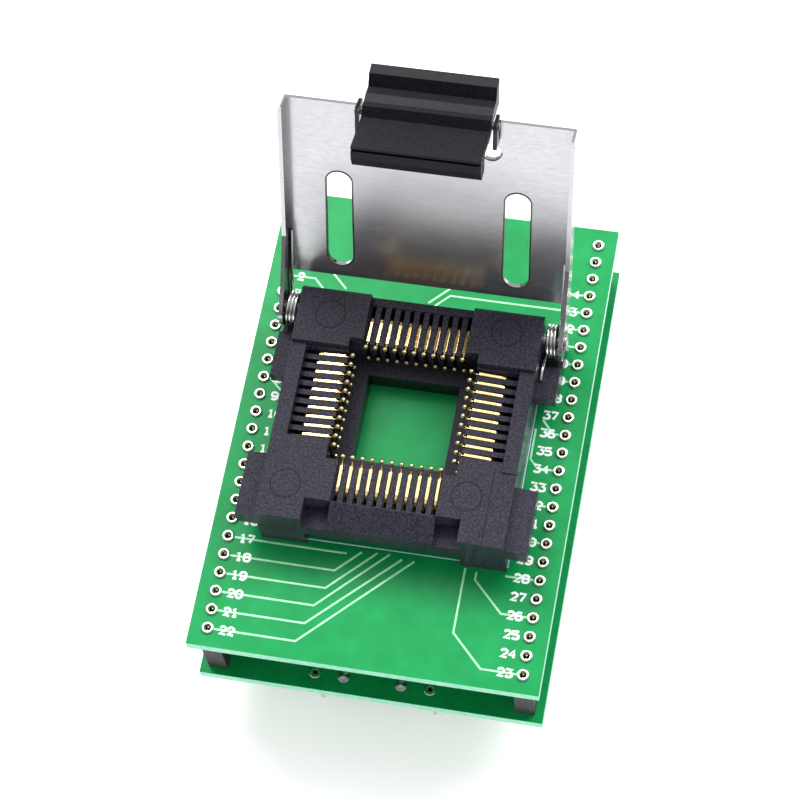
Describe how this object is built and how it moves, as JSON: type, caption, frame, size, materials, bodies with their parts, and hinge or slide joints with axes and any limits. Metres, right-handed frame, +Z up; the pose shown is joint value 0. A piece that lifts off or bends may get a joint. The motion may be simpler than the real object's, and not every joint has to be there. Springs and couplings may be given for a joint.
{
  "type": "burn-in test socket on a dual in-line adapter",
  "caption": "Open-top test socket with a sprung latching steel lid and gold contacts round a square cavity, on two stacked green adapter boards with rows of pins.",
  "frame": {"origin": "centre of the rectangle of adapter pins, at the height of the pin tips", "axes": "+Z up out of the boards, +Y along the boards from the latch side to the hinge side, +X to the right seen from the latch side; the hinge runs along X"},
  "size_m": [0.0454, 0.067, 0.058],
  "materials": {
    "board": "glass-fibre board with glossy green solder mask; painted metal stands in for it",
    "strip": "matte black moulded plastic",
    "body": "matte black moulded plastic with a fine grain",
    "contact": "gold-plated copper alloy, polished",
    "spring": "bright drawn steel wire",
    "steel": "turned steel",
    "receptacle": "bright tinned brass",
    "pin": "bright plated brass",
    "lid": "stainless sheet, satin, lightly scratched",
    "latch": "black moulded plastic, semi-gloss"
  },
  "bodies": {
    "base": {"bottom_board": "board", "top_board": "board", "dip_pins_left": "pin", "dip_pins_right": "pin", "dip_strip_left": "strip", "dip_strip_right": "strip", "header_strip_left": "strip", "header_strip_right": "strip", "header_contacts_left": "pin", "header_contacts_right": "pin", "carrier_strip_left": "strip", "carrier_strip_right": "strip", "receptacle_pins_left": "receptacle", "receptacle_pins_right": "receptacle", "socket_body": "body", "contacts_right": "contact", "contacts_back": "contact", "contacts_left": "contact", "contacts_front": "contact", "hinge_pins": "steel", "torsion_spring_left": "spring", "torsion_spring_right": "spring"},
    "lid": {"lid_plate": "lid", "latch_pin": "steel"},
    "latch": {"latch": "latch"}
  },
  "joints": [
    {"name": "lid_hinge", "type": "hinge", "parent": "base", "child": "lid", "pos_m": [0, 0.0131, 0.02735], "axis": [1, 0, 0], "range_deg": [0, 113.7], "stiffness_Nm_per_rad": 0.02, "springref_deg": -34.38, "deforming": ["torsion_spring_left", "torsion_spring_right"]},
    {"name": "latch_pivot", "type": "hinge", "parent": "lid", "child": "latch", "pos_m": [0, 0.02796, 0.05523], "axis": [1, 0, 0], "range_deg": [-25, 0], "stiffness_Nm_per_rad": 0.001, "springref_deg": 22.92}
  ]
}
